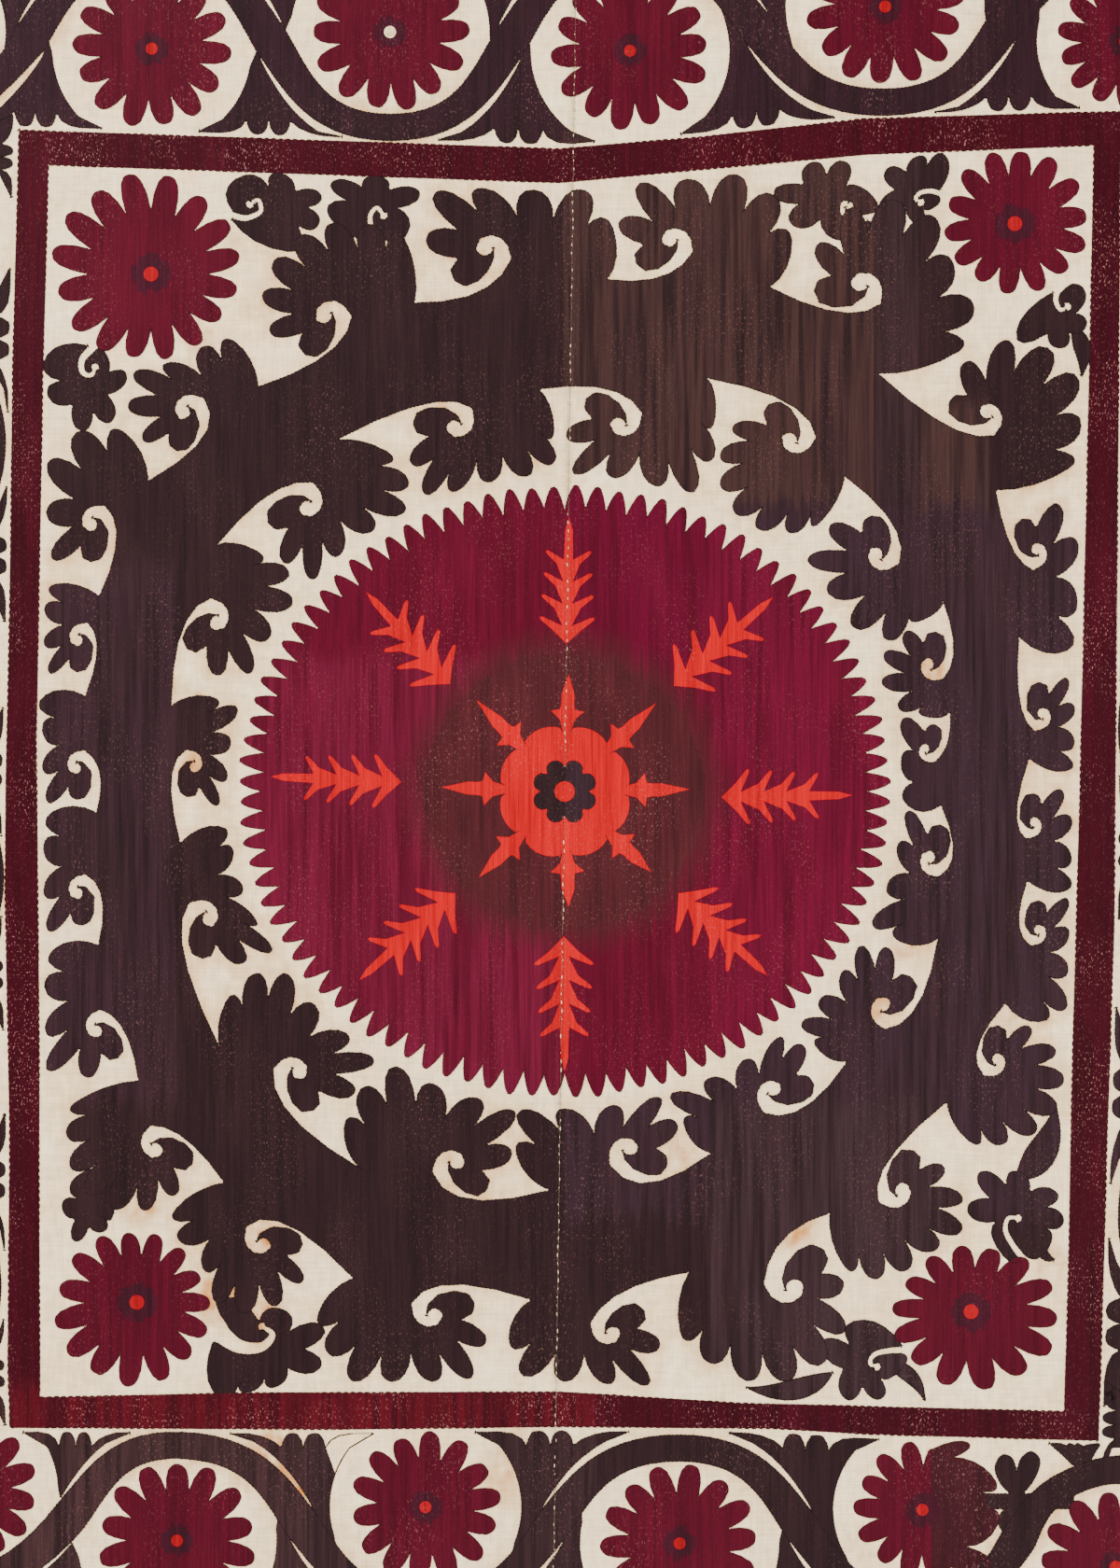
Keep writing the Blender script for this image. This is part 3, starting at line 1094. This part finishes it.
def tuft(number, side, edges):
    """Two claws and two lobes that hang from the vine where it crosses over, on the frame's side (1) or
    the other (-1): the spots from the near rosette's side round the foot and back along the vine."""
    ahead = (number + 1) % len(BORDER_ROSETTES)
    near, far = (number, ahead) if BORDER_ROSETTES[number][2] == (side > 0) else (ahead, number)
    near_spot, far_spot = BORDER_ROSETTES[near], BORDER_ROSETTES[far]
    _, way = frame_line((near_spot[0] + far_spot[0]) / 2, (near_spot[1] + far_spot[1]) / 2)
    axis = 1 if way[1] else 0
    sign = way[axis]
    tables = {(0, 1): (FRAME_TOP, CLOTH_TOP), (-1, 0): (FRAME_RIGHT, CLOTH_RIGHT),
              (0, -1): (FRAME_FOOT, CLOTH_FOOT), (1, 0): (FRAME_LEFT, CLOTH_LEFT)}
    table = tables[way][0 if side > 0 else 1]
    inset = 0.0 if side > 0 else sign * EDGE_MARGIN
    towards = sign * side

    def height(spot):
        return (across(table, spot[1 - axis]) + inset - spot[axis]) * towards

    def foot(along, high):
        level = across(table, along) + inset - towards * high
        return (along, level) if axis else (level, along)

    def half_run(rosette_number, first):
        """The vine's edge from its top over a rosette to the crossing before (first) or after it."""
        edge = edges[1 if side > 0 else 0]
        begin = rosette_number * 2 * VINE_STEPS
        if first:
            return edge[begin:begin + VINE_STEPS + 1][::-1]
        return edge[begin + VINE_STEPS:begin + 2 * VINE_STEPS] + [edge[(begin + 2 * VINE_STEPS) % len(edge)]]

    def moved(spot, centre, gap):
        away = apart(spot, centre)
        return (spot[0] + gap * (spot[0] - centre[0]) / away, spot[1] + gap * (spot[1] - centre[1]) / away)

    odd = (near, far) == (ODD_ROSETTE - 1, ODD_ROSETTE - 2)
    reach = near_spot[3] + (ODD_RING if odd else TUFT_RING)
    outer = [moved(spot, near_spot, 1.5) for spot in half_run(near, near == ahead)]
    outer = [spot for spot in outer if apart(spot, near_spot) > reach + 1]
    far_run = half_run(far, far == ahead)[::-1][1:]
    for i, spot in enumerate(far_run, 1):
        spot = moved(spot, far_spot, (TUFT_GAP + 1.5) * (i / len(far_run)) ** 0.5 - 1.5)
        if apart(spot, near_spot) > reach + 1:
            outer.append(spot)
        if height(spot) < TUFT_ENDS[0]:
            break
    else:
        outer = outer[:-3]
    last = outer[-1]
    step = 1 if far_spot[1 - axis] > near_spot[1 - axis] else -1
    run_on = TUFT_ENDS[1] * (0.3 if odd else 1.0)
    last = foot(last[1 - axis] + step * run_on, CLAW_TIP)

    start = atan2(outer[0][1] - near_spot[1], outer[0][0] - near_spot[0])
    turn = (atan2(side * way[1], side * way[0]) - start + pi) % (2 * pi) - pi
    first = apart(outer[0], near_spot)
    inner = []
    for i in range(46):
        angle = start + turn * i / 50
        size = max(reach, first - 1.2 * i)
        spot = polar(near_spot, size, angle)
        if height(spot) < TUFT_ENDS[0]:
            break
        inner.append(spot)
    inner = inner[1::2]
    near_end = foot(inner[-1][1 - axis] - step * run_on, CLAW_TIP)
    begin, end = near_end[1 - axis], last[1 - axis]
    flat = min(1.0, abs(end - begin) / FULL_TUFT)
    rim = [foot(begin + (end - begin) * share, CLAW_TIP + (high - CLAW_TIP) * flat)
           for share, high in TUFT_FOOT]
    outline = inner + [near_end] + rim + [last] + outer[::-1]
    if odd:
        return [(ODD_MIDDLE + ODD_WIDE * (x - ODD_MIDDLE) + ODD_SLIDE, y) for x, y in outline]
    return outline


def meeting(a, b, c, d):
    """Where the line a-b crosses the line c-d, if it does."""
    turn = (b[0] - a[0]) * (d[1] - c[1]) - (b[1] - a[1]) * (d[0] - c[0])
    if not turn:
        return None
    first = ((c[0] - a[0]) * (d[1] - c[1]) - (c[1] - a[1]) * (d[0] - c[0])) / turn
    second = ((c[0] - a[0]) * (b[1] - a[1]) - (c[1] - a[1]) * (b[0] - a[0])) / turn
    if 0 < first < 1 and 0 < second < 1:
        return (a[0] + first * (b[0] - a[0]), a[1] + first * (b[1] - a[1]))
    return None


def area(spots):
    """The area inside an outline."""
    x, y = np.array(spots).T
    return abs(np.dot(x, np.roll(y, -1)) - np.dot(y, np.roll(x, -1))) / 2


def untangled(outline):
    """An outline without the loops that it makes where it crosses itself: the smaller side goes."""
    spots = list(outline)
    i = 0
    while i < len(spots) - 2:
        for j in range(i + 2, len(spots) - (i == 0)):
            meet = meeting(spots[i], spots[i + 1], spots[j], spots[(j + 1) % len(spots)])
            if meet:
                spots = max([meet] + spots[i + 1:j + 1], spots[:i + 1] + [meet] + spots[j + 1:], key=area)
                i = -1
                break
        i += 1
    return spots


def palmette(mouth, slit, tips):
    """Lobes round a body, with a slit that runs in from its mouth and ends in a round bulb."""
    line = curved(slit)[:-1]
    sides = ([], [])
    for i, (x, y) in enumerate(line):
        a, b = line[max(0, i - 1)], line[min(len(line) - 1, i + 1)]
        length = apart(a, b)
        half = mouth + (SLIT_HALF - mouth) * (i / (len(line) - 1)) ** 0.6
        normal = ((a[1] - b[1]) / length, (b[0] - a[0]) / length)
        sides[0].append((x + half * normal[0], y + half * normal[1]))
        sides[1].append((x - half * normal[0], y - half * normal[1]))
    near_first = min((0, 1), key=lambda k: apart(sides[k][0], tips[0]))
    out, into = sides[near_first], sides[1 - near_first]
    bulb_x, bulb_y = slit[-1]
    back = atan2(line[-1][1] - bulb_y, line[-1][0] - bulb_x)
    hand = 1 if near_first == 0 else -1
    bulb = [polar(slit[-1], BULB, back + hand * turn) for turn in np.linspace(0.7, 2 * pi - 0.7, 12)]
    middle = (sum(x for x, _ in tips) / len(tips), sum(y for _, y in tips) / len(tips))
    notches = [out[0]]
    for a, b in zip(tips, tips[1:]):
        mid = ((a[0] + b[0]) / 2, (a[1] + b[1]) / 2)
        aim = (middle[0] - mid[0], middle[1] - mid[1])
        deep = min(LOBE_SPREAD * apart(a, b), LOBE_REACH * hypot(*aim)) / hypot(*aim)
        notches.append((mid[0] + aim[0] * deep, mid[1] + aim[1] * deep))
    notches.append(into[0])
    outline = []
    for notch, tip, after in zip(notches, tips, notches[1:]):
        outline += petal(notch, tip, after)
    return untangled(outline + into + bulb + out[:0:-1])


def blade(root_x, root_y, bend_x, bend_y, tip_x, tip_y, half):
    """A bent leaf blade, widest near its middle."""
    sides = ([], [])
    for i in range(1, 12):
        u = i / 12
        x = (1 - u) ** 2 * root_x + 2 * u * (1 - u) * bend_x + u * u * tip_x
        y = (1 - u) ** 2 * root_y + 2 * u * (1 - u) * bend_y + u * u * tip_y
        dx = (1 - u) * (bend_x - root_x) + u * (tip_x - bend_x)
        dy = (1 - u) * (bend_y - root_y) + u * (tip_y - bend_y)
        wide = half * sin(pi * u ** 0.8) / hypot(dx, dy)
        sides[0].append((x - wide * dy, y + wide * dx))
        sides[1].append((x + wide * dy, y - wide * dx))
    return [(root_x, root_y)] + sides[0] + [(tip_x, tip_y)] + sides[1][::-1]


def odd_rosette(outline):
    """The crimson left of the odd rosette, and its uneven dark right with its own petals."""
    left = [(x, y) for x, y in outline if x <= SILKS_MEET]
    # the list begins after its widest gap, where the cut-off petals were
    far_gap = max(range(len(left)), key=lambda i: apart(left[i], left[i - 1]))
    left = left[far_gap:] + left[:far_gap]
    ends = [(SILKS_MEET, left[-1][1]), (SILKS_MEET, left[0][1])]
    dark = []
    head, foot = SILKS_SPAN
    notches = DARK_PETALS + [(SILKS_MEET, foot, 0, 0)]
    for (x, y, tip_x, tip_y), after in zip(notches, notches[1:]):
        dark += petal((x, y), (tip_x, tip_y), after[:2])
    return left + ends, untangled(dark + [(SILKS_MEET, foot), (SILKS_MEET, head)])


def trefoil():
    """A stem with two lobes above it and one below."""
    left, top, right, foot = TREFOIL_STEM
    first, second, low = [curved(lobe) for lobe in TREFOIL]
    return [(left, top)] + first[:-1] + second + [(right, top), (right, foot)] + low + [(left, foot)]


def open_runs(outline, hidden_by):
    """The parts of an outline that no other outline hides, as open runs."""
    spots = finer(outline, 3)
    hidden = np.zeros(len(spots), bool)
    for pair in hidden_by:
        covered = np.zeros(len(spots), bool)
        for other in pair:
            covered ^= inside(np.array(spots), other)
        hidden |= covered
    if not hidden.any():
        return [(spots, True)]
    begin = int(np.argmax(hidden))
    runs, run = [], []
    for k in range(len(spots) + 1):
        i = (begin + k) % len(spots)
        if hidden[i] or k == len(spots):
            if len(run) > 2:
                runs.append((run, False))
            run = []
        else:
            run.append(spots[i])
    return runs


def frame_and_leaves(dark, loose, maroon):
    """The frame, the wreath, and the palmettes and blades in the field's corners."""
    band = []
    for edge in (ring(FRAME_TOP, FRAME_RIGHT, FRAME_FOOT, FRAME_LEFT),
                 ring(FIELD_TOP, FIELD_RIGHT, FIELD_FOOT, FIELD_LEFT)):
        # the couching's end stitches make the frame's edges slightly toothed
        band.append([(x + (0.6 if i % 2 else -0.6), y + (0.6 if i % 2 else -0.6))
                     for i, (x, y) in enumerate(finer(edge, 3.7))])
    crossing("frame", band, FRAME_SILK, CRIMSON_SLOT)
    maroon += band

    leaves = [wreath(OUTER_LEAVES, 1), wreath(INNER_LEAVES, -1)]
    crossing("wreath", leaves, DARK, DARK_SLOT)
    dark += leaves
    bodies = [palmette(*row) for row in PALMETTES]
    for number, outline in enumerate(bodies, 1):
        worked(f"palmette_{number:02d}", [outline], DARK, SILK_LOW, SILK_TOP - TUFT_DROP)
        loose += open_runs(outline, [leaves])
    for number, row in enumerate(BLADES, 1):
        outline = blade(*row)
        worked(f"leaf_blade_{number}", [outline], DARK, SILK_LOW, SILK_TOP - BLADE_DROP)
        loose += open_runs(outline, [leaves] + [[body] for body in bodies])


def medallion_and_flower(loose, maroon, scarlet):
    """The toothed medallion, its dark middle, the eight sprigs and the flower with its heart."""
    patch = ragged_round(*MIDDLE, GROUND_RADIUS, GROUND_RADIUS, 7, 0.94, 1.02, 3.0, 0.01)
    holes = [patch]
    for name, *sizes in SPRIGS:
        outline = sprig(*sizes)
        holes.append(outline)
        if name in ("sprig_top", "sprig_foot"):
            crossing(name, [outline], SCARLET, SCARLET_SLOT)
        else:
            worked(name, [outline], SCARLET, stands_for=[name])
        scarlet.append(outline)
    crossing("medallion", [toothed_edge()] + holes, MEDALLION, CRIMSON_SLOT)
    maroon.append(toothed_edge())
    crossing("ground", [patch, flower()], GROUND, DARK_SLOT)
    crossing("flower", [flower()], SCARLET, SCARLET_SLOT)
    scarlet.append(flower())
    heart = lobed_round(*MIDDLE, 35, 8, 9)
    first, second = SILK_TOP + FLOWER_RISE, SILK_TOP + 2 * FLOWER_RISE
    worked("flower_heart", [heart], DARK, SILK_TOP, first)
    worked("flower_dot", [circle(*MIDDLE, 11, 24)], SCARLET, first, second)
    loose.append((heart, True))


def rosette_eye(name, x, y, wide, seed, radius, material=RED_DOT):
    """A rosette's ragged dark heart, a little higher than wide, and the round dot on it."""
    heart = ragged_round(x, y, wide, wide + 1, seed)
    dot = circle(x, y, radius, 20)
    worked(f"{name}_heart", [heart], SMUDGE, SILK_TOP, SILK_TOP + HEART_RISE)
    worked(f"{name}_dot", [dot], material, SILK_TOP + HEART_RISE, SILK_TOP + DOT_RISE)


def rosettes(maroon):
    """The corner rosettes, and the border's with their odd one."""
    for number, (name, x, y, far, near, squat, petals) in enumerate(CORNER_ROSETTES):
        outline = rosette(x, y, far, petals, near, squat, start=0.1 * number)
        worked(name, [outline], CRIMSON, stands_for=[name])
        maroon.append(outline)
        rosette_eye(name, x, y, 21, number, 8)

    for number, (x, y, _, radius, petals, _) in enumerate(BORDER_ROSETTES, 1):
        name = f"border_rosette_{number:02d}"
        outline = rosette(x, y, radius, petals, start=0.37 * number)
        if number == ODD_ROSETTE:
            outline, odd_side = odd_rosette(outline)
            worked(f"{name}_dark_side", [odd_side], PLUM, stands_for=[name])
            maroon.append(odd_side)
        if abs(x - seam_x(y)) < radius:
            crossing(name, [outline], CRIMSON, CRIMSON_SLOT)
        else:
            worked(name, [outline], CRIMSON, stands_for=[name])
        maroon.append(outline)
        rosette_eye(name, x, y, 17, 20 + number, 6.5, PALE_THREAD if number == PALE_DOT else RED_DOT)


def vine_and_tufts(dark, tufts):
    """The border's vine, the tufts that hang from it on both sides, and the trefoil."""
    vine = vine_edges()
    crossing("vine", vine, DARK, DARK_SLOT)
    dark += vine
    for number in range(len(BORDER_ROSETTES)):
        for label, side in (("inner", 1), ("outer", -1)):
            outline = tuft(number, side, vine)
            if side > 0 and number == DRAWN_CLAW[0]:
                start, end = DRAWN_CLAW[1:]
                stitched("drawn_claw", [(outline[start:end + 1], False)], PEN,
                         2.0, 3.0, 1.7, 0.5, COTTON_TOP + 0.2)
                outline = outline[:start + 1] + outline[end:]
            name = f"{label}_tuft_{number + 1:02d}"
            worked(name, [outline], DARK, SILK_LOW, SILK_TOP - TUFT_DROP)
            tufts += open_runs(outline, [vine])
    worked("trefoil", [trefoil()], DARK, SILK_LOW, SILK_TOP - TUFT_DROP)
    tufts += open_runs(trefoil(), [vine])


def sewing(dark, small, maroon, scarlet):
    """The edging stitches of each colour and the seam's, with their spacing, length, width and height."""
    def closed(outlines):
        return [(outline, True) for outline in outlines]

    stitched("dark_edge_stitches", closed(dark), DARK_EDGE, 4.4, 5.2, 1.8, 1.0)
    stitched("tuft_edge_stitches", small, DARK_EDGE, 4.0, 4.8, 1.5, 0.9)
    stitched("maroon_edge_stitches", closed(maroon), MAROON_EDGE, 4.0, 5.6, 1.3, 0.8)
    stitched("scarlet_edge_stitches", closed(scarlet), SCARLET_EDGE, 3.6, 4.4, 1.2, 0.8)
    seam = [(seam_x(y) + 0.7 * sin(y / 9), y) for y in range(-80, 1776, 8)]
    stitched("seam_stitches", [(seam, False)], PALE_THREAD, 9.0, 4.6, 1.1, 0.8,
             SILK_TOP, (0.45, 1.15), 0.28)


def camera_and_light():
    """A camera straight above the cloth with the picture's framing, a pale floor and soft lights."""
    lens, sensor = 85.0, 36.0
    middle = place(PICTURE[0] / 2, PICTURE[1] / 2)
    camera_data = bpy.data.cameras.new("camera")
    camera_data.lens = lens
    camera_data.sensor_width = sensor
    camera = shown("camera", camera_data)
    camera.location = (middle[0], middle[1], PICTURE[1] / MM * lens / sensor)
    camera_data.clip_end = 40
    bpy.context.scene.camera = camera
    bpy.ops.mesh.primitive_plane_add(size=14)
    floor = bpy.context.object
    floor.name = "floor"
    material, tree, shader, where = new_material("pale matt floor", 0.9)
    tone = mixed(tree, noise(tree, where, (300, 300, 300)), linear("#c4c0ba"), linear("#cdc9c3"))
    tree.links.new(tone, shader.inputs["Base Color"])
    floor.data.materials.append(material)
    lights = [("key", (-2.6, 2.4, 3.0), 2.4, 420), ("fill", (3.0, -0.6, 3.0), 3.0, 260),
              ("low", (-0.8, -3.2, 3.0), 3.0, 160)]
    for name, spot, size, power in lights:
        light_data = bpy.data.lights.new(name, "AREA")
        light_data.size = size
        light_data.energy = power
        light = shown(name, light_data)
        light.location = spot
        light.rotation_euler = (-Vector(spot)).to_track_quat("-Z", "Y").to_euler()
    world = bpy.data.worlds.new("soft studio")
    world.use_nodes = True
    world.node_tree.nodes["Background"].inputs[0].default_value = linear("#f6f3ee")
    world.node_tree.nodes["Background"].inputs[1].default_value = 0.6
    bpy.context.scene.world = world


camera_and_light()
# the edges that the edging threads follow: three lists for the dark one, and one for each red one
dark, tufts, loose, maroon, scarlet = [], [], [], [], []
frame_and_leaves(dark, loose, maroon)
medallion_and_flower(loose, maroon, scarlet)
rosettes(maroon)
vine_and_tufts(dark, tufts)
panels = [cotton_panel(side, dark) for side in ("left", "right")]
sewing(dark, tufts + loose, maroon, scarlet)
